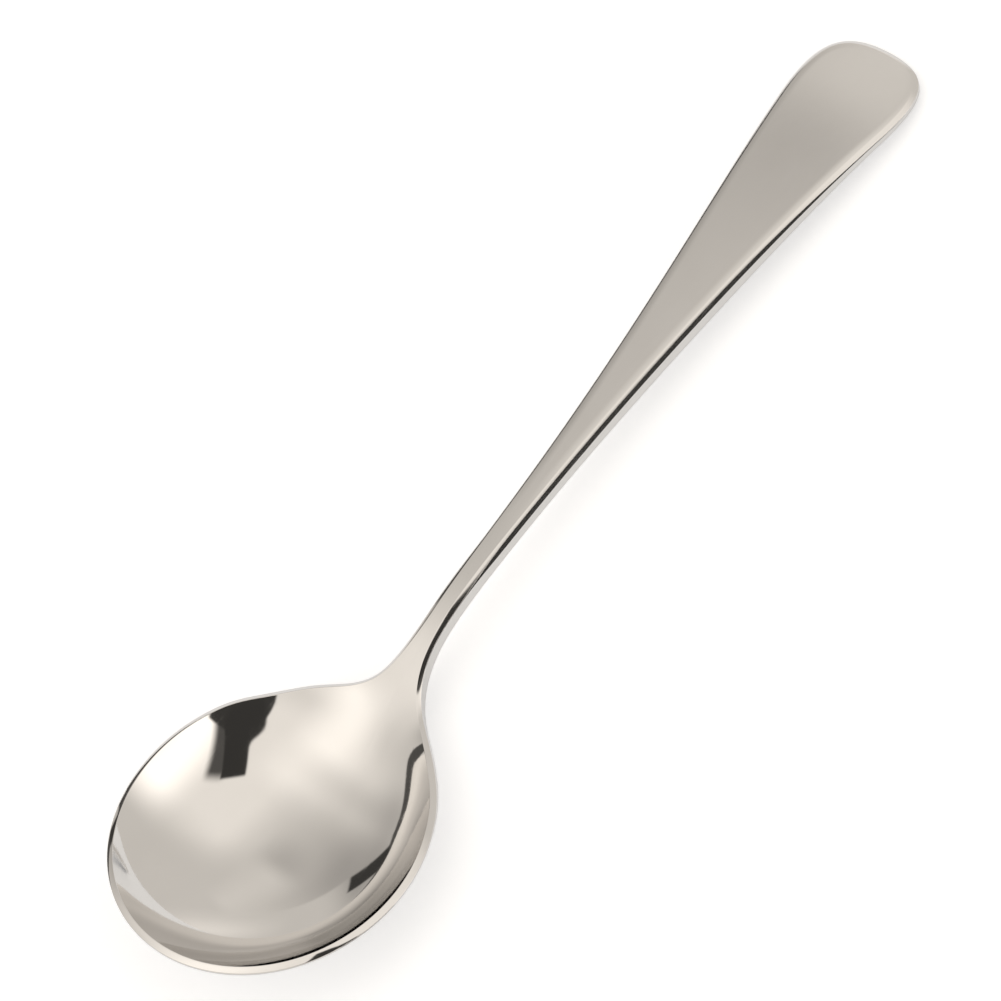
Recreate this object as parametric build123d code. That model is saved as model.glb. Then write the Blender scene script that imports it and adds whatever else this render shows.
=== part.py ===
from build123d import *
import math
import numpy
import os

# Soup spoon with a round bowl, pressed and polished from one piece of stainless steel sheet.
# It is drawn with the rim level: X runs from the bowl's centre to the handle's tip, Z is up from
# the rim. At the end the finished spoon is laid down as it rests on a table. Lengths in mm.

# Bowl
bowl_radius = 26.6            # outside of the rim, seen from above
bowl_depth = 12.0             # rim edge to the inside of the floor
bowl_fullness = 0.39          # 0 is a plain parabola, more gives a flatter floor and steeper walls
side_fullness = 2.7           # the walls at the sides are fuller than at the front by this much
floor_thickness = 1.6         # sheet at the middle of the bowl
rim_height = 2.25             # upright edge of the sheet all round the rim

# Outline of the neck and the handle, seen from above
shoulder_angle = 50.0         # degrees from the X axis, where the outline leaves the bowl's circle
shoulder_pull = 17.3          # how far the outline still follows the circle's tangent there
neck_length = 16.1            # bowl's rim circle to the narrowest place
neck_width = 4.2              # narrowest place
neck_pull = 16.5              # how far the narrow neck reaches towards the bowl
waist_pull = 43.7             # how far it reaches along the handle
flare_run = 102.3             # narrowest place to the widest straight part of the handle
flare_width = 20.8
flare_angle = 7.8             # degrees, how far each edge still opens there
flare_pull = 33.5
end_length = 14.7             # from there to the handle's tip
end_side_pull = 11.4          # roundness of the tip's corners along the sides
end_tip_pull = 8.8            # and along the tip

# Side view of the neck and the handle
handle_angle = 9.35           # degrees, the straight run rises from the rim's plane
handle_start = 1.69           # that run, carried back to the bowl's centre, is this far below the rim
bend_length = 31.4            # bowl's rim circle to the end of the bend in the neck
neck_drop = 6.4               # the bend takes the neck this far below the run at the rim circle
ramp_inside = 15.7            # the bowl's back wall starts to turn into the neck this far inside the rim
ramp_outside = 6.45           # and has become the neck this far outside it
droop_start = 73.4            # bowl's rim circle to where the handle begins to arch down
end_droop = 4.0               # tip below the straight run
crown_radius = 360.0          # handle's top and underside are rounded across by this radius

# Thickness of the neck and the handle
neck_thickness = 3.5
handle_thickness = 3.8
end_thickness = 2.1

# Rounded edges
top_edge_radius = 0.6
under_edge_radius = 0.7

# Small flat at the bottom of the bowl, on which the spoon lies still
rest_flat = 0.05              # taken off the lowest place

# The pressed surfaces that shape the blank
margin = 4.0                  # wider and longer than the outline by this much
surface_degree = 9            # of each patch along X, enough for the curves below to be exact

# Places along X that follow from the sizes above
waist_x = bowl_radius + neck_length
flare_x = waist_x + flare_run
tip_x = flare_x + end_length
bend_x = bowl_radius + bend_length
droop_x = bowl_radius + droop_start
ramp_start_x = bowl_radius - ramp_inside
ramp_end_x = bowl_radius + ramp_outside
ramp_middle_x = (ramp_start_x + ramp_end_x) / 2
front_x = -bowl_radius - margin
back_x = tip_x + margin


def ease(start, end, x):
    """0 before start, 1 after end, with an even change of slope between."""
    t = min(max((x - start) / (end - start), 0), 1)
    return t * t * t * (t * (6 * t - 15) + 10)


def bezier(points, t):
    """Point of a cubic curve with four control points."""
    s = 1 - t
    parts = (s * s * s, 3 * s * s * t, 3 * s * t * t, t * t * t)
    return sum((p * k for p, k in zip(points, parts)), Vector(0, 0))


def arm(length, degrees):
    return Vector(length * math.cos(math.radians(degrees)), length * math.sin(math.radians(degrees)))


# Control points of one side of the outline: shoulder, handle edge and half of the tip
shoulder = arm(bowl_radius, shoulder_angle)
waist = Vector(waist_x, neck_width / 2)
flare = Vector(flare_x, flare_width / 2)
tip = Vector(tip_x, 0)
neck_curve = (
    shoulder,
    shoulder + arm(shoulder_pull, shoulder_angle - 90),
    waist - Vector(neck_pull, 0),
    waist,
)
handle_curve = (
    waist,
    waist + Vector(waist_pull, 0),
    flare - arm(flare_pull, flare_angle),
    flare,
)
end_curve = (
    flare,
    flare + arm(end_side_pull, flare_angle),
    tip + Vector(0, end_tip_pull),
    tip,
)


def handle_line(x):
    """Height of the handle's top along its middle: a straight run that bends down at both ends."""
    run = math.tan(math.radians(handle_angle)) * x - handle_start
    bend = neck_drop * (max(bend_x - x, 0) / bend_length) ** 3
    droop = end_droop * (max(x - droop_x, 0) / (tip_x - droop_x)) ** 3
    return run - bend - droop


def thickness(x):
    to_handle = ease(bend_x, droop_x, x)
    to_end = ease(droop_x, back_x, x)
    return neck_thickness + (handle_thickness - neck_thickness) * to_handle + (
        end_thickness - handle_thickness) * to_end


def dish(x, floor, rim):
    """Section of a round dish at x, as the heights' factors of 1, y squared and y to the fourth."""
    rise = rim - floor
    u = (x / bowl_radius) ** 2
    k = bowl_fullness
    return (
        floor + rise * ((1 - k) * u + k * u * u),
        (rise * (1 - k + 2 * k * u) - side_fullness * (1 - u)) / bowl_radius ** 2,
        (rise * k + side_fullness) / bowl_radius ** 4,
    )


def section(x, top):
    """Factors of the sheet's upper or lower surface at x, from the bowl through to the handle."""
    if top:
        bowl = dish(x, -bowl_depth, 0)
        handle_height = handle_line(x)
        crown = -1 / (2 * crown_radius)
    else:
        bowl = dish(x, -bowl_depth - floor_thickness, -rim_height)
        handle_height = handle_line(x) - thickness(x)
        crown = 1 / (2 * crown_radius)
    if x <= ramp_start_x:
        return bowl
    along = ease(ramp_start_x, ramp_end_x, x)
    across = ease(ramp_middle_x, ramp_end_x, x)
    return (
        bowl[0] + (handle_height - bowl[0]) * along,
        bowl[1] + (crown - bowl[1]) * across,
        bowl[2] * (1 - across),
    )


def height(x, y, top):
    c0, c2, c4 = section(x, top)
    return c0 + c2 * y ** 2 + c4 * y ** 4


def controls(values):
    """Control heights of the curve that passes through values at even places."""
    n = len(values) - 1
    places = [i / n for i in range(n + 1)]
    shares = [[math.comb(n, k) * t ** k * (1 - t) ** (n - k) for k in range(n + 1)] for t in places]
    return numpy.linalg.solve(shares, values)


def patch(start, end, top):
    """Piece of the sheet's upper or lower surface, across its whole width."""
    half = bowl_radius + margin
    n = surface_degree
    xs = [start + (end - start) * i / n for i in range(n + 1)]
    rows = []
    for x in xs:
        c0, c2, c4 = section(x, top)
        c2, c4 = c2 * half ** 2, c4 * half ** 4
        rows.append((c0 + c2 + c4, c0 - c4, c0 - c2 / 3 + c4, c0 - c4, c0 + c2 + c4))
    columns = [controls(column) for column in zip(*rows)]
    return Face.make_bezier_surface(
        [[Vector(x, half * (j / 2 - 1), columns[j][i]) for j in range(5)] for i, x in enumerate(xs)]
    )


def pressed_surface(top):
    """The whole surface, larger than the outline all round."""
    stops = (front_x, ramp_start_x, ramp_middle_x, ramp_end_x, bend_x, droop_x, back_x)
    return Shell([patch(start, end, top) for start, end in zip(stops, stops[1:])])


def outline():
    """The spoon seen from above."""
    edges = [ThreePointArc(shoulder, (-bowl_radius, 0), (shoulder.X, -shoulder.Y))]
    for curve in (neck_curve, handle_curve, end_curve):
        edges.append(Bezier(*curve))
        edges.append(Bezier(*[Vector(p.X, -p.Y) for p in curve]))
    return Face(Wire(edges))


def spoon_with_sharp_edges():
    """The blank, an upright prism of the outline, kept only between the two pressed surfaces."""
    reach = bowl_depth + tip_x / 2
    body = extrude(Plane.XY.offset(-reach) * outline(), 2 * reach, dir=(0, 0, 1))
    for top in (True, False):
        pieces = split(body, bisect_by=pressed_surface(top), keep=Keep.ALL).solids().sort_by(Axis.Z)
        body = pieces[0] if top else pieces[-1]
    return body


def edge_radius(radius, surface, rim_share):
    """The radius, unless it is too large for the upright edge at the rim or at the handle's end."""
    wall_slope = 2 * (bowl_depth * (1 + bowl_fullness) + side_fullness) / bowl_radius
    corner = math.pi / 2 + surface * math.atan(wall_slope)
    at_rim = rim_share * rim_height / math.tan(corner / 2)
    at_end = 0.36 * end_thickness
    return min(radius, at_rim, at_end)


def sharp_edges(body, top):
    """The edges all round the outline where the upright wall meets the upper or lower surface."""
    walls = body.faces().filter_by(lambda face: abs(face.normal_at().Z) < 1e-6)
    middles = [(edge, edge @ 0.5) for edge in walls.edges()]
    return [edge for edge, p in middles if abs(p.Z - height(p.X, p.Y, top)) < 1e-4]


def rounded(body):
    """Breaks the upper and the lower edge all round, as polishing leaves them."""
    body = body.fillet(edge_radius(top_edge_radius, 1, 0.86), sharp_edges(body, True))
    return body.fillet(edge_radius(under_edge_radius, -1, 0.12), sharp_edges(body, False))


def underside(x):
    """Point of the sheet's lower surface, on the middle line."""
    return Vector(x, 0, height(x, 0, False))


def bowl_floor():
    """Points along the middle of the bowl's underside, close enough to find its lowest place."""
    return [underside(bowl_radius * (i / 100 - 0.5)) for i in range(101)]


def lowest(points, angle):
    return min(p.rotate(Axis.Y, angle).Z for p in points)


def rest_angle():
    """Angle that brings the bowl's floor and the underside of the handle's tip onto one table."""
    radius = edge_radius(under_edge_radius, -1, 0.12)
    tip_rounding = underside(tip_x) + Vector(-radius, 0, radius)
    low, high = 0.0, 45.0
    for _ in range(50):
        angle = (low + high) / 2
        above = lowest([tip_rounding], angle) - radius > lowest(bowl_floor(), angle) + rest_flat
        low, high = (angle, high) if above else (low, angle)
    return low


def at_rest(body):
    """Lays the spoon on the table, with the middle of its length over the origin."""
    angle = rest_angle()
    body = Rot(0, angle, 0) * body
    table = lowest(bowl_floor(), angle) + rest_flat
    body = Pos(-body.bounding_box().center().X, 0, -table) * body
    below_bowl = Box(tip_x, tip_x, tip_x, align=(Align.MAX, Align.CENTER, Align.MAX))
    return (body - below_bowl).solid()


spoon = at_rest(rounded(spoon_with_sharp_edges()))
spoon.label = "soup_spoon"
os.makedirs("parts", exist_ok=True)
export_step(spoon, "parts/soup_spoon.step")
print("soup_spoon", round(spoon.volume), "mm3, resting angle", round(rest_angle(), 2))
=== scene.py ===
# %% [markdown]
# This lesson dresses a soup spoon for its picture. The imported solid is loaded first, because it
# is the measure of everything that follows.

# %% Load the spoon
import bpy
import math
from mathutils import Matrix, Vector


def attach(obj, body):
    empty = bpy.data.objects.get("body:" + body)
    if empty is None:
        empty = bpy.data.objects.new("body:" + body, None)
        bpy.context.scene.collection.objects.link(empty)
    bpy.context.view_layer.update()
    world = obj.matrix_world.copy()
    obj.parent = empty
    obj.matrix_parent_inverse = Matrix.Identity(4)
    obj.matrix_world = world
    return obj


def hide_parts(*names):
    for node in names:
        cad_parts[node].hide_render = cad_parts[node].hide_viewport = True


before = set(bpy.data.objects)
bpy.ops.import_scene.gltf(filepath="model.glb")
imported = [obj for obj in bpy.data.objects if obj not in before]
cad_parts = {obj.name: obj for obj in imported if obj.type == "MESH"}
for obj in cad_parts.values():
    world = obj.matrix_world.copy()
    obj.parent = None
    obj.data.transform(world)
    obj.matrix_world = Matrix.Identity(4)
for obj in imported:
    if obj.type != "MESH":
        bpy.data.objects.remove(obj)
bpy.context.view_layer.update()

# %% [markdown]
# A soup spoon is one piece of steel: a round bowl, a slim neck and a handle that widens towards
# its end. It is polished until it mirrors the room, and a mirror shows every flat facet. So the
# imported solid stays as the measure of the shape, and a finer skin is made here from the same
# curves. All sizes are in millimetres, with the bowl's rim level, and are turned to metres at the
# end.

# %% Sizes of the spoon
BOWL_RADIUS, BOWL_DEPTH = 26.6, 12.0
BOWL_FULLNESS, SIDE_FULLNESS = 0.39, 2.7
FLOOR_THICK, RIM_HEIGHT = 1.6, 2.25
RAMP_START, RAMP_END = 10.9, 33.05
WAIST_X, FLARE_X, TIP_X, BACK_X = 42.7, 145.0, 159.7, 163.7
HANDLE_ANGLE, HANDLE_START = math.radians(9.35), 1.69
BEND_X, BEND_LENGTH, NECK_DROP = 58.0, 31.4, 6.4
DROOP_X, END_DROOP = 100.0, 4.0
CROWN_RADIUS = 360.0
NECK_THICK, HANDLE_THICK, END_THICK = 3.5, 3.8, 2.1


def ease(start, end, x):
    """0 before start, 1 after end, with an even change of slope between."""
    t = min(max((x - start) / (end - start), 0.0), 1.0)
    return t * t * t * (t * (6 * t - 15) + 10)


def handle_line(x):
    """Height of the handle's top along its middle."""
    run = math.tan(HANDLE_ANGLE) * x - HANDLE_START
    bend = NECK_DROP * (max(BEND_X - x, 0.0) / BEND_LENGTH) ** 3
    droop = END_DROOP * (max(x - DROOP_X, 0.0) / (TIP_X - DROOP_X)) ** 3
    return run - bend - droop


def thickness(x):
    """Thickness of the sheet along the neck and the handle."""
    to_handle, to_end = ease(BEND_X, DROOP_X, x), ease(DROOP_X, BACK_X, x)
    more, less = HANDLE_THICK - NECK_THICK, END_THICK - HANDLE_THICK
    return NECK_THICK + more * to_handle + less * to_end


def height(x, y, top):
    """The sheet's upper or lower surface: a dish that eases into the flat handle."""
    floor, rim = (-BOWL_DEPTH, 0.0) if top else (-BOWL_DEPTH - FLOOR_THICK, -RIM_HEIGHT)
    u, rise, k = (x / BOWL_RADIUS) ** 2, rim - floor, BOWL_FULLNESS
    c0 = floor + rise * ((1 - k) * u + k * u * u)
    c2 = (rise * (1 - k + 2 * k * u) - SIDE_FULLNESS * (1 - u)) / BOWL_RADIUS ** 2
    c4 = (rise * k + SIDE_FULLNESS) / BOWL_RADIUS ** 4
    along = ease(RAMP_START, RAMP_END, x)
    across = ease((RAMP_START + RAMP_END) / 2, RAMP_END, x)
    crown = (-1 if top else 1) / (2 * CROWN_RADIUS)
    level = handle_line(x) - (0.0 if top else thickness(x))
    c0, c2, c4 = c0 + (level - c0) * along, c2 + (crown - c2) * across, c4 * (1 - across)
    return c0 + c2 * y * y + c4 * y ** 4


print("bowl floor", height(0, 0, True), "handle tip", height(TIP_X, 0, True))

# %% [markdown]
# The outline, seen from above, is a circle that flows into three curves: the shoulder, the long
# edge of the handle and half of its rounded end. One half is enough, because a spoon is the same
# on both sides. Each column of the mesh starts at one point of this line and runs to a target on
# the middle line: the centre of the bowl, or the place beside it on the handle.

# %% Outline of one half
SHOULDER_ANGLE, FLARE_ANGLE = 50, 7.8
NECK_HALF, FLARE_HALF = 2.1, 10.4
SHOULDER_PULL, NECK_PULL, WAIST_PULL, FLARE_PULL = 17.3, 16.5, 43.7, 33.5
END_SIDE_PULL, END_TIP_PULL = 11.4, 8.8
CIRCLE_STEPS, CURVE_STEPS = 96, (64, 84, 64)
LAST_TARGET = 150.0


def cubic(points, t):
    """Point of a curve with four control points."""
    s = 1 - t
    shares = (s ** 3, 3 * s * s * t, 3 * s * t * t, t ** 3)
    return sum((Vector(p) * k for p, k in zip(points, shares)), Vector((0, 0)))


def arm(length, degrees):
    """A step of some length in a direction from the spoon's axis."""
    return Vector((math.cos(math.radians(degrees)), math.sin(math.radians(degrees)))) * length


shoulder, waist = arm(BOWL_RADIUS, SHOULDER_ANGLE), Vector((WAIST_X, NECK_HALF))
flare, tip = Vector((FLARE_X, FLARE_HALF)), Vector((TIP_X, 0))
along_circle = arm(SHOULDER_PULL, SHOULDER_ANGLE - 90)
neck_curve = (shoulder, shoulder + along_circle, waist - Vector((NECK_PULL, 0)), waist)
before_flare, after_flare = arm(FLARE_PULL, FLARE_ANGLE), arm(END_SIDE_PULL, FLARE_ANGLE)
handle_curve = (waist, waist + Vector((WAIST_PULL, 0)), flare - before_flare, flare)
end_curve = (flare, flare + after_flare, tip + Vector((0, END_TIP_PULL)), tip)

outline, targets = [], []
for i in range(CIRCLE_STEPS):
    outline.append(arm(BOWL_RADIUS, 180 - (180 - SHOULDER_ANGLE) * i / CIRCLE_STEPS))
    targets.append(Vector((0, 0)))
for curve, steps in zip((neck_curve, handle_curve, end_curve), CURVE_STEPS):
    for i in range(steps):
        outline.append(cubic(curve, i / steps))
        share = ease(shoulder.x, WAIST_X, outline[-1].x)
        targets.append(Vector((min(outline[-1].x * share, LAST_TARGET), 0)))
outline.append(tip)
targets.append(Vector((LAST_TARGET, 0)))
print("outline points on one side:", len(outline))

# %% [markdown]
# The edge of a pressed spoon is ground and polished. On the handle the upper side rolls off
# softly before it meets the edge, which gives the handle a slow gradient there. The roll is a
# parabola that lowers the upper side a little, because that keeps its slope even. It fades out
# towards the neck.

# %% Upper side near the edge
ROLL_WIDTH, ROLL_RADIUS = 2.2, 10.0
ROLL_FROM, ROLL_FULL = 50, 84
SLOPE_STEP = 0.1


def rolled(edge, inset):
    """How far the handle's upper side has rolled down at a place inside the edge."""
    on_handle = ease(ROLL_FROM, ROLL_FULL, edge.x)
    return on_handle * max(ROLL_WIDTH - inset, 0.0) ** 2 / (2 * ROLL_RADIUS)


def slope(edge, out, inset, top):
    """Angle of the upper or lower surface, outwards, at a place inside the edge."""
    a, b = edge - out * inset, edge - out * (inset + SLOPE_STEP)
    rise = height(a.x, a.y, top) - height(b.x, b.y, top)
    if top:
        rise -= rolled(edge, inset) - rolled(edge, inset + SLOPE_STEP)
    return math.atan2(rise, SLOPE_STEP)


print("roll at the handle's edge", rolled(flare, 0.0), "mm")

# %% [markdown]
# A broad facet that leans outwards runs all round the spoon, as a thin bright line. It is bowed
# very slightly, as hand polishing leaves it. On the handle a second, steep facet follows. Bevel
# operators give every edge the same facets, so they are drawn here as a chain of arcs and
# straight runs, whose sizes can change on the way. Small crisp arcs join them, and a softer one
# leads to the upright wall.

# %% Facets of the edge
CRISP, SOFT = 0.08, 0.16
TILT, BOW, STEEP_LEAN = 28, math.radians(4), math.radians(30)
ROUND_ROWS, TURN_ROWS = 6, 4
FACET_ROWS = (0.1, 0.5, 0.9, 1.0)


def arc(start, radius, first, last, rows):
    """Points after start on a round whose normal turns from first to last."""
    centre = start - Vector((math.cos(first), math.sin(first))) * radius
    angles = [first + (last - first) * k / rows for k in range(1, rows + 1)]
    return [centre + Vector((math.cos(a), math.sin(a))) * radius for a in angles]


def bevel(start, upper, tilt, steep):
    """Points from the upper side to the upright wall, over the broad and the steep facet."""
    lean = math.radians(90 - tilt)
    points = arc(start, CRISP, math.pi / 2 + upper, lean + BOW, ROUND_ROWS)
    taken = CRISP * (math.cos(STEEP_LEAN) - math.cos(lean - BOW))
    taken += steep * math.sin(STEEP_LEAN) + SOFT * (1 - math.cos(STEEP_LEAN))
    bowed = (-points[-1].x - taken) / (2 * math.sin(BOW) * math.sin(lean))
    points += arc(points[-1], bowed, lean + BOW, lean - BOW, ROUND_ROWS)
    points += arc(points[-1], CRISP, lean - BOW, STEEP_LEAN, TURN_ROWS)
    corner = points[-1]
    flat = Vector((math.sin(STEEP_LEAN), -math.cos(STEEP_LEAN))) * steep
    points += [corner + flat * t for t in FACET_ROWS]
    return points + arc(points[-1], SOFT, STEEP_LEAN, 0.0, ROUND_ROWS)


print("facets lean", TILT, "degrees, then", round(90 - math.degrees(STEEP_LEAN)), "degrees")

# %% [markdown]
# The whole edge starts a little inside the outline, runs over the facets and down the upright
# wall, and ends in a round to the underside. The steep facet begins at the neck and tapers off
# towards the handle's end. Where the sheet is too thin for the broad facet, the facet is laid
# flatter until a narrow wall is left.

# %% Profile of the edge
TOP_EDGE, UNDER_EDGE = 0.6, 0.7
UPPER_AT, LOWER_AT = 0.9, 0.4
MOST_FALL, LEAST_WALL = -0.04, 0.04
NECK_FROM, NECK_TO = 30, 46
HANDLE_INSET, HANDLE_FULLER, UNDER_LESS = 0.3, 0.5, 0.5
STEEP_LEAST, STEEP_MORE = 0.06, 0.74
STEEP_FROM, STEEP_FULL, TAPER_FROM, TAPER_TO = 44, 60, 104, 154
WALL_ROWS, UNDER_ROWS = (0.1, 0.9, 1.0), 8


def edge_profile(edge, out):
    """Points of the edge from the upper side to the underside, as (out, up) from the outline."""
    upper, lower = slope(edge, out, UPPER_AT, True), slope(edge, out, LOWER_AT, False)
    past_neck = ease(NECK_FROM, NECK_TO, edge.x)
    inset = TOP_EDGE * (1 + max(math.sin(upper), MOST_FALL)) + HANDLE_INSET * past_neck
    taper = 1 - ease(TAPER_FROM, TAPER_TO, edge.x)
    steep = STEEP_LEAST + STEEP_MORE * ease(STEEP_FROM, STEEP_FULL, edge.x) * taper
    inner = edge - out * inset
    start = Vector((-inset, height(inner.x, inner.y, True) - rolled(edge, inset)))
    fuller = HANDLE_FULLER * past_neck * (1 - ease(DROOP_X, TIP_X, edge.x))
    radius = (UNDER_EDGE + fuller) * (1 - UNDER_LESS * math.sin(lower))
    under = edge - out * radius * (1 - math.sin(lower))
    wall_low = height(under.x, under.y, False) + radius * math.cos(lower)
    tilt = TILT
    lip = bevel(start, upper, tilt, steep)
    while lip[-1].y < wall_low + LEAST_WALL:
        tilt -= 1
        lip = bevel(start, upper, tilt, steep)
    wall = [lip[-1].lerp(Vector((0, wall_low)), t) for t in WALL_ROWS]
    return [start] + lip + wall + arc(wall[-1], radius, 0.0, lower - math.pi / 2, UNDER_ROWS)


middle_profile = edge_profile(Vector((DROOP_X, 0)), Vector((0, 1)))
print("points over the edge:", len(middle_profile))

# %% [markdown]
# Across the spoon each column runs from the middle of the upper side out to the edge, over the
# edge and back under to the middle. The rows lie close together where the surface turns, so the
# smooth shading has enough points to follow a mirror finish.

# %% Columns across the spoon
TOP_ROWS, BACK_ROWS = 34, 22
HOLD = 0.03


def outward(i):
    """Direction away from the spoon at a point of the outline."""
    ahead = outline[min(i + 1, len(outline) - 1)] - outline[max(i - 1, 0)]
    if i == 0 or i == len(outline) - 1:
        ahead = Vector((0, 1 if i == 0 else -1))
    return Vector((-ahead.y, ahead.x)).normalized()


def column(i):
    """Points of the skin at one place of the outline, from the middle over the edge and back."""
    edge, out, target = outline[i], outward(i), targets[i]
    profile = edge_profile(edge, out)
    first, last = edge + out * profile[0].x, edge + out * profile[-1].x
    points = []
    for t in [k / TOP_ROWS for k in range(TOP_ROWS)] + [1 - HOLD / (first - target).length]:
        p = target.lerp(first, t)
        inset = (first - p).length - profile[0].x
        points.append((p.x, p.y, height(p.x, p.y, True) - rolled(edge, inset)))
    for q in profile:
        p = edge + out * q.x
        points.append((p.x, max(p.y, 0.0), q.y))
    for k in range(1, BACK_ROWS + 1):
        p = last.lerp(target, k / BACK_ROWS)
        points.append((p.x, p.y, height(p.x, p.y, False)))
    return points


columns = [column(i) for i in range(len(outline))]
print("columns", len(columns), "points in each", len(columns[0]))

# %% [markdown]
# A grid primitive has just the right order of faces for this: one way along the outline, the
# other way across the edge. Each of its points is moved to its place on the spoon. Then the spoon
# is tilted as it lies on a table, on the bottom of its bowl and the tip of its handle.

# %% Lay a grid over the spoon
REST, LIFT = math.radians(11.744505), 14.264907


def turned(x, y, z):
    """Turns a direction from the level rim to the spoon at rest."""
    c, s = math.cos(REST), math.sin(REST)
    return Vector((x * c + z * s, y, z * c - x * s))


ends = [turned(*p).x for points in columns for p in points]
SHIFT = -(min(ends) + max(ends)) / 2


def on_table(x, y, z):
    """Puts a point of the spoon where it lies at rest; nothing goes below the table."""
    p = turned(x, y, z) + Vector((SHIFT, 0, LIFT))
    return Vector((p.x, p.y, max(p.z, 0.0)))


bpy.ops.object.select_all(action="DESELECT")
across, along = len(columns[0]), len(columns)
bpy.ops.mesh.primitive_grid_add(x_subdivisions=along - 1, y_subdivisions=across - 1, size=1)
spoon = bpy.context.object
spoon.name = spoon.data.name = "polished_spoon"
for v in spoon.data.vertices:
    i, k = round((v.co.x + 0.5) * (along - 1)), round((v.co.y + 0.5) * (across - 1))
    v.co = on_table(*columns[i][k]) / 1000
print("grid of", len(spoon.data.vertices), "points, shift", SHIFT)

# %% [markdown]
# The other half is a Mirror modifier across the middle, applied at once. The points that meet on
# the middle line, in the bowl's centre and at the tip are merged, so the skin is closed, and the
# normals are made to point outwards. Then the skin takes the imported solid's place in the frame.

# %% Mirror it to a whole spoon
MIDDLE_GAP, SAME_POINT = 0.00001, 0.000004
mirror = spoon.modifiers.new("other_half", "MIRROR")
mirror.use_axis = (False, True, False)
mirror.merge_threshold = MIDDLE_GAP
bpy.ops.object.modifier_apply(modifier=mirror.name)
bpy.ops.object.mode_set(mode="EDIT")
bpy.ops.mesh.select_all(action="SELECT")
bpy.ops.mesh.remove_doubles(threshold=SAME_POINT)
bpy.ops.mesh.normals_make_consistent(inside=False)
bpy.ops.object.mode_set(mode="OBJECT")
bpy.ops.object.shade_smooth()
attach(spoon, "root")
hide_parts("soup_spoon")
print("spoon faces", len(spoon.data.polygons))

# %% [markdown]
# Materials and the studio light are both made of nodes. Three small helpers keep that readable: a
# calculation with two values, a soft step from one value to another, and a noise whose
# coordinates can be turned and stretched, which makes round clouds or long thin lines. They add
# to the node tree that nodes and links stand for at the time.

# %% Helpers for nodes


def calc(operation, a, b=0.0):
    """Adds a Math node; a and b are sockets or numbers."""
    node = nodes.new("ShaderNodeMath")
    node.operation = operation
    for socket, value in zip(node.inputs, (a, b)):
        if isinstance(value, (int, float)):
            socket.default_value = value
        else:
            links.new(value, socket)
    return node.outputs[0]


def remap(value, low, high, first, last):
    """Adds a Map Range node that eases from first at low to last at high."""
    node = nodes.new("ShaderNodeMapRange")
    node.interpolation_type = "SMOOTHSTEP"
    for name, number in zip(("From Min", "From Max", "To Min", "To Max"), (low, high, first, last)):
        node.inputs[name].default_value = number
    links.new(value, node.inputs["Value"])
    return node.outputs["Result"]


def noise(vector, degrees, stretch, scale, detail):
    """Adds a noise texture, with its coordinates turned and stretched first."""
    mapping = nodes.new("ShaderNodeMapping")
    mapping.inputs["Rotation"].default_value[2] = math.radians(degrees)
    mapping.inputs["Scale"].default_value = stretch
    links.new(vector, mapping.inputs["Vector"])
    texture = nodes.new("ShaderNodeTexNoise")
    texture.inputs["Scale"].default_value = scale
    texture.inputs["Detail"].default_value = detail
    links.new(mapping.outputs["Vector"], texture.inputs["Vector"])
    return texture.outputs["Fac"]


print("helpers:", calc.__name__, remap.__name__, noise.__name__)

# %% [markdown]
# Stainless steel has a faint warm grey of its own. The bowl is buffed to a mirror. The handle
# keeps a trace of the belt that ground it lengthwise, so it is a little duller and has a fine
# grain. Both have soft clouds from polishing by hand, and thin hairlines from washing, and the
# places on which the spoon rests are scuffed. Each is a noise on the object's own coordinates, at
# its real size.

# %% Patterns on the steel
BOWL_END, HANDLE_BEGIN = -0.036, 0.0
SCUFFED_BELOW, CLEAN_ABOVE = 0.0002, 0.0012
ALL_ROUND, ALONG, THIN = (1, 1, 1), (0.02, 1, 1), (0.03, 1, 1)
HAIR_A, HAIR_B = (0.66, 0.72), (0.67, 0.73)
steel = bpy.data.materials.new("polished_steel")
steel.use_nodes = True
nodes, links = steel.node_tree.nodes, steel.node_tree.links
place = nodes.new("ShaderNodeTexCoord").outputs["Object"]
axes = nodes.new("ShaderNodeSeparateXYZ")
links.new(place, axes.inputs[0])
handle = remap(axes.outputs["X"], BOWL_END, HANDLE_BEGIN, 0.0, 1.0)
clouds = noise(place, degrees=0, stretch=ALL_ROUND, scale=90, detail=3)
ground = noise(place, degrees=0, stretch=ALONG, scale=3000, detail=2)
grain = calc("MULTIPLY", ground, handle)
hair_a = noise(place, degrees=35, stretch=THIN, scale=1500, detail=1)
hair_b = noise(place, degrees=-50, stretch=THIN, scale=1300, detail=1)
hairs = calc("MAXIMUM", remap(hair_a, *HAIR_A, 0.0, 1.0), remap(hair_b, *HAIR_B, 0.0, 1.0))
low_down = remap(axes.outputs["Z"], SCUFFED_BELOW, CLEAN_ABOVE, 1.0, 0.0)
scuffs = calc("MULTIPLY", low_down, hairs)
print("patterns:", len(nodes), "nodes")

# %% [markdown]
# The patterns now drive the shader. Roughness is low all over and rises with the grain, the
# hairlines and the scuffs. The colour swings a little between a warmer and a cooler grey. The
# bump is less than a hundredth of a millimetre high: more would bend the reflections.

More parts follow.
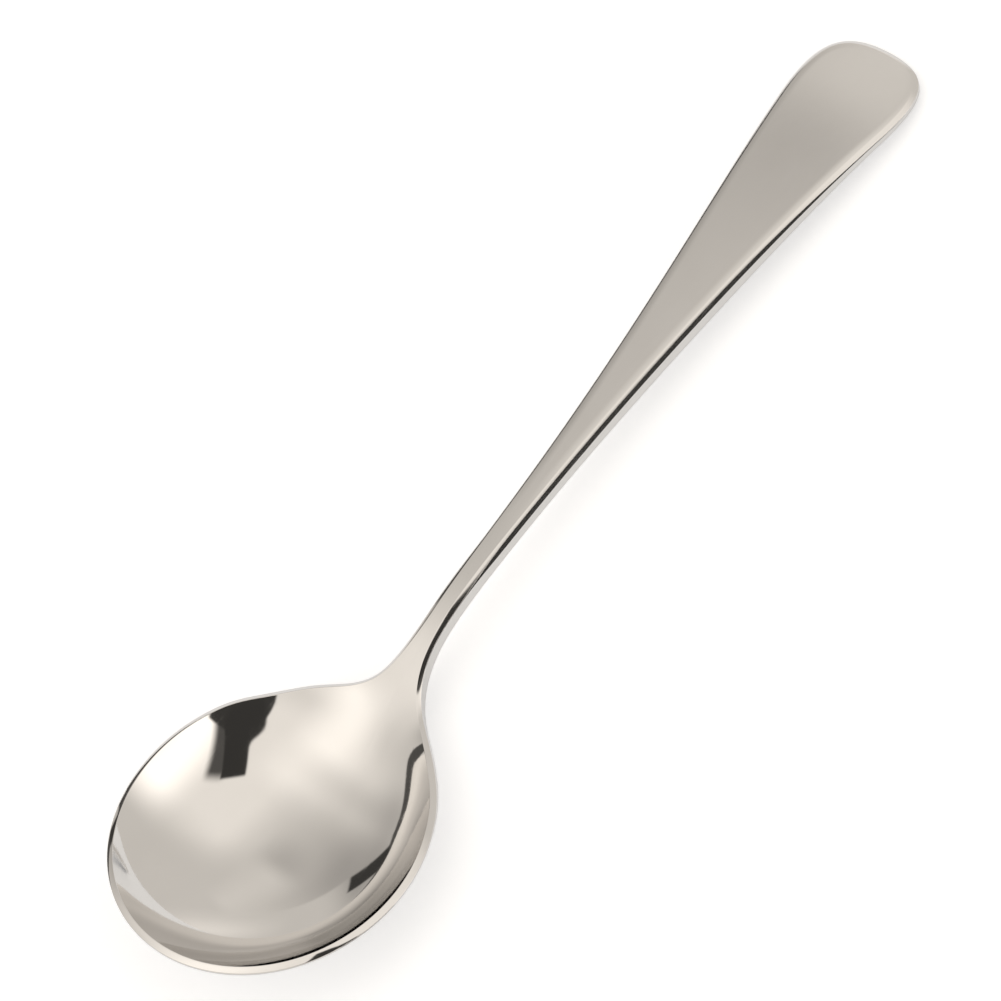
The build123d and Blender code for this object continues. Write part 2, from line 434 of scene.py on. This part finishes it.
# %% Steel
BUFFED, HANDLE_DULLER = 0.035, 0.05
WARM_GREY, COOL_GREY = (0.675, 0.662, 0.645, 1), (0.725, 0.714, 0.702, 1)
BUMP_HEIGHT = 0.0000008
GRAIN_TONE = 0.3
GRAIN_BUMP, HAIR_BUMP, CLOUD_BUMP = 0.5, -0.5, 6.0
shader = nodes["Principled BSDF"]
shader.inputs["Metallic"].default_value = 1.0
rough = calc("ADD", BUFFED, calc("MULTIPLY", handle, HANDLE_DULLER))
for pattern, share in ((clouds, 0.03), (grain, 0.04), (hairs, 0.03), (scuffs, 0.2)):
    rough = calc("ADD", rough, calc("MULTIPLY", pattern, share))
links.new(rough, shader.inputs["Roughness"])

tone = nodes.new("ShaderNodeMix")
tone.data_type = "RGBA"
tone.inputs["A"].default_value = WARM_GREY
tone.inputs["B"].default_value = COOL_GREY
links.new(calc("ADD", clouds, calc("MULTIPLY", grain, GRAIN_TONE)), tone.inputs["Factor"])
links.new(tone.outputs["Result"], shader.inputs["Base Color"])

lines = calc("ADD", calc("MULTIPLY", grain, GRAIN_BUMP), calc("MULTIPLY", hairs, HAIR_BUMP))
bump = nodes.new("ShaderNodeBump")
bump.inputs["Strength"].default_value = 1.0
bump.inputs["Distance"].default_value = BUMP_HEIGHT
links.new(calc("ADD", lines, calc("MULTIPLY", clouds, CLOUD_BUMP)), bump.inputs["Height"])
links.new(bump.outputs["Normal"], shader.inputs["Normal"])
spoon.data.materials.clear()
spoon.data.materials.append(steel)
print("material", steel.name, "with", len(nodes), "nodes")

# %% [markdown]
# The spoon lies on plain white paper. Its material is diffuse, so it takes the spoon's soft
# shadow. It is a trace cooler than grey, because the studio light is a little warm. A glow is
# added for the rays that see it directly or in the polished steel, which makes it read as white
# without putting more light on the spoon. The steel needs less of it, because the paper that it
# mirrors is then just white.

# %% Floor
FLOOR_SIZE = 6
PAPER, GLOW = (0.78, 0.8, 0.83, 1), (1, 0.99, 0.98, 1)
SEEN_GLOW, MIRRORED_GLOW = 0.42, 0.24
bpy.ops.object.select_all(action="DESELECT")
bpy.ops.mesh.primitive_plane_add(size=FLOOR_SIZE)
floor = bpy.context.object
floor.name = "floor"
paper = bpy.data.materials.new("white_paper")
paper.use_nodes = True
nodes, links = paper.node_tree.nodes, paper.node_tree.links
nodes.clear()
diffuse = nodes.new("ShaderNodeBsdfDiffuse")
diffuse.inputs["Color"].default_value = PAPER
glow = nodes.new("ShaderNodeEmission")
glow.inputs["Color"].default_value = GLOW
seen = nodes.new("ShaderNodeLightPath").outputs
mirrored = calc("MAXIMUM", seen["Is Glossy Ray"], seen["Is Transmission Ray"])
mirrored = calc("MULTIPLY", mirrored, MIRRORED_GLOW)
direct = calc("MULTIPLY", seen["Is Camera Ray"], SEEN_GLOW)
links.new(calc("MAXIMUM", direct, mirrored), glow.inputs["Strength"])
both = nodes.new("ShaderNodeAddShader")
links.new(diffuse.outputs[0], both.inputs[0])
links.new(glow.outputs[0], both.inputs[1])
links.new(both.outputs[0], nodes.new("ShaderNodeOutputMaterial").inputs["Surface"])
floor.data.materials.append(paper)
print("floor", floor.dimensions.x, "m wide")

# %% [markdown]
# A mirror finish looks like what is around it, so the studio is the other half of the material.
# It is a tent of soft light with pale panels and a few dark cards. They are placed by how many
# degrees they stand from straight overhead, so each direction is turned into two numbers first:
# degrees towards the handle's side, and degrees towards the far side.

# %% Directions in the studio
NOT_ZERO = 0.0001
world = bpy.data.worlds.new("studio")
bpy.context.scene.world = world
world.use_nodes = True
nodes, links = world.node_tree.nodes, world.node_tree.links
nodes.clear()
direction = nodes.new("ShaderNodeSeparateXYZ")
links.new(nodes.new("ShaderNodeTexCoord").outputs["Generated"], direction.inputs[0])
east, north, upward = direction.outputs
overhead = calc("MULTIPLY", calc("ARCCOSINE", upward), 180 / math.pi)
squares = calc("ADD", calc("MULTIPLY", east, east), calc("MULTIPLY", north, north))
level = calc("MAXIMUM", calc("SQRT", squares), NOT_ZERO)
to_handle = calc("MULTIPLY", calc("DIVIDE", east, level), overhead)
to_far = calc("MULTIPLY", calc("DIVIDE", north, level), overhead)
print("directions:", len(nodes), "nodes")

# %% [markdown]
# Lamps and cards could be objects, but panels in the world's nodes throw no hard shadow and can
# have edges as soft as a real tent's. Each panel is laid over the light so far. Soft edges give
# the bowl its slow shading, and sharp dark cards give it its crisp lines. The camera itself sees
# plain white.

# %% Panels and cards
TENT_LIGHT, WARM_LIGHT = 0.72, (1.06, 1.0, 0.925, 1)
PANELS = (
    # centre, half of the size, turn, softness of the edges, strength
    ((0, -12), (48, 30), 0, (20, 14), 1.04),
    ((66, 8), (20, 34), 25, (12, 12), 0.72),
    ((12, 62), (22, 23), 0, (18, 14), 0.44),
    ((62, 56.5), (36, 15), -22.8, (10, 1), 0.70),
    ((74, 48), (18, 9), -20, (16, 10), 0.95),
    ((26, 34), (6, 6), 0, (6, 6), 0.56),
    ((44, 34), (13.5, 6), 0, (4, 6), 0.79),
    ((-18, 36), (18, 18), 0, (16, 16), 0.93),
    ((-30, 15), (24, 16), -15, (16, 15), 1.36),
    ((10, -60), (40, 17), 0, (18, 16), 1.65),
    ((7.5, 73.4), (16, 4.75), -38.7, (1, 0.8), 0.05),
    ((-19.9, 76.7), (17, 4.8), 16.7, (1, 0.8), 0.09),
    ((20, 85.5), (14, 7.5), 0, (1, 1), 0.08),
    ((0, -84), (60, 8), 0, (4, 1), 0.03),
    ((-9.4, -41.9), (24, 6), 28, (5, 3), 0.1),
    ((-29, -44), (12, 13.5), 0, (1, 0.8), 0.05),
    ((-16.6, -35.9), (27.5, 7.75), 36, (1.5, 0.8), 0.045),
)


def panel(light, centre, half, degrees, soft, strength):
    """Lays a soft-edged panel over the light so far."""
    c, s = math.cos(math.radians(degrees)), math.sin(math.radians(degrees))
    dx, dy = calc("SUBTRACT", to_handle, centre[0]), calc("SUBTRACT", to_far, centre[1])
    u = calc("ABSOLUTE", calc("ADD", calc("MULTIPLY", dx, c), calc("MULTIPLY", dy, s)))
    v = calc("ABSOLUTE", calc("SUBTRACT", calc("MULTIPLY", dy, c), calc("MULTIPLY", dx, s)))
    along = remap(u, half[0] - soft[0], half[0] + soft[0], 1.0, 0.0)
    mask = calc("MULTIPLY", along, remap(v, half[1] - soft[1], half[1] + soft[1], 1.0, 0.0))
    return calc("ADD", light, calc("MULTIPLY", mask, calc("SUBTRACT", strength, light)))


light = TENT_LIGHT
for settings in PANELS:
    light = panel(light, *settings)
lamp = nodes.new("ShaderNodeBackground")
lamp.inputs["Color"].default_value = WARM_LIGHT
links.new(light, lamp.inputs["Strength"])
backdrop = nodes.new("ShaderNodeBackground")
backdrop.inputs["Color"].default_value = (1, 1, 1, 1)
mix = nodes.new("ShaderNodeMixShader")
links.new(nodes.new("ShaderNodeLightPath").outputs["Is Camera Ray"], mix.inputs[0])
links.new(lamp.outputs[0], mix.inputs[1])
links.new(backdrop.outputs[0], mix.inputs[2])
links.new(mix.outputs[0], nodes.new("ShaderNodeOutputWorld").inputs["Surface"])
print("studio with", len(PANELS), "panels")

# %% [markdown]
# The camera looks down on the spoon from beyond the bowl, with a long lens from about a metre
# away, as for a catalogue. Its place and its two directions are given with the bowl's rim level
# and are turned with the spoon. The third direction follows from the two.

# %% Camera
FRAME_WIDTH, FOCAL_PIXELS, SENSOR = 1001, 6500, 36
CAMERA_PLACE = (-261.96, -559.74, 802.28)
CAMERA_RIGHT, CAMERA_AHEAD = (0.6489, -0.7202, -0.2454), (0.3167, 0.5489, -0.7736)
FARTHEST = 20
camera = bpy.data.objects.new("camera", bpy.data.cameras.new("camera"))
bpy.context.collection.objects.link(camera)
camera.data.sensor_width = SENSOR
camera.data.lens = FOCAL_PIXELS / FRAME_WIDTH * SENSOR
camera.data.clip_end = FARTHEST
right = turned(*CAMERA_RIGHT).normalized()
ahead = turned(*CAMERA_AHEAD).normalized()
up = right.cross(ahead).normalized()
right = ahead.cross(up)
stand = on_table(*CAMERA_PLACE) / 1000
looking = Matrix((right, up, -ahead)).transposed()
camera.matrix_world = Matrix.Translation(stand) @ looking.to_4x4()
bpy.context.scene.camera = camera
bpy.context.scene.view_settings.view_transform = "Standard"
print("camera at", stand, "lens", camera.data.lens)

# %% [markdown]
# Last, the script prints a closing line.

# %% End
print("scene built")
